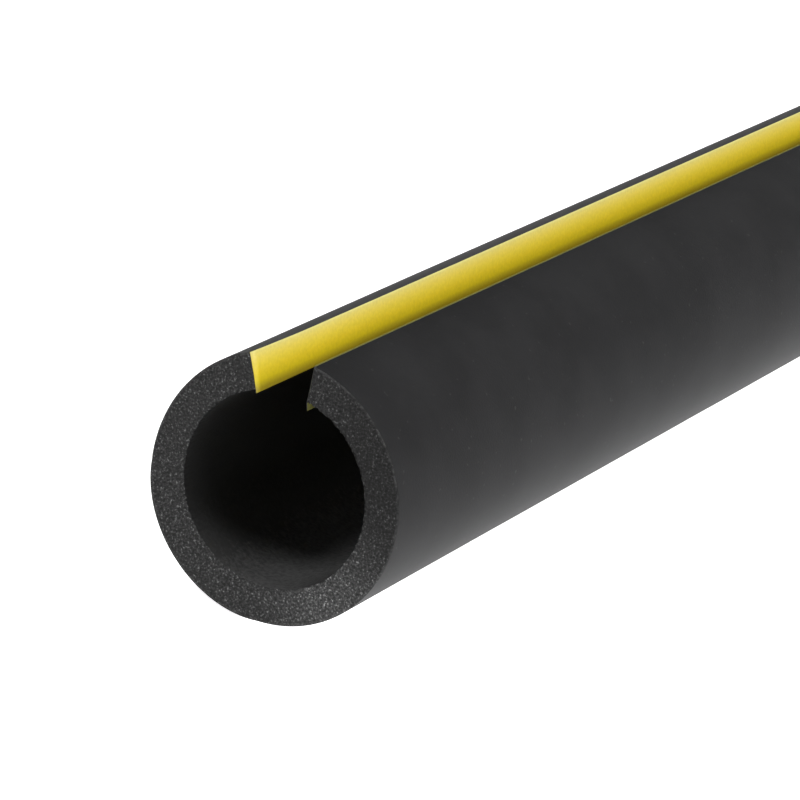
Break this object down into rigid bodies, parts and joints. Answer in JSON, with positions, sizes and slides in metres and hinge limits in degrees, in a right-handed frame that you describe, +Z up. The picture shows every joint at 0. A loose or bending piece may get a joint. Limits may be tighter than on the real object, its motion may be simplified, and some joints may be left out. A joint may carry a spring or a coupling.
{
  "type": "pipe insulation lagging",
  "caption": "Flexible foam tube, slit along its length, that clips over a heating or cooling pipe and seals shut with adhesive under peel-off paper strips.",
  "frame": {"origin": "bottom centre of the bounding box, on the floor under the middle of the tube", "axes": "+Y along the tube from the end in the picture's foreground to the far end, +X to the right of the slit as seen from that near end, +Z up, through the open slit"},
  "size_m": [0.095, 1, 0.0937],
  "materials": {
    "foam": "matt black closed-cell elastomeric foam with a smooth extruded skin",
    "release_paper": "yellow silicone-coated release paper, satin"
  },
  "bodies": {
    "root": {"foam_tube": "foam", "release_paper_left": "release_paper", "release_paper_right": "release_paper"}
  },
  "joints": []
}
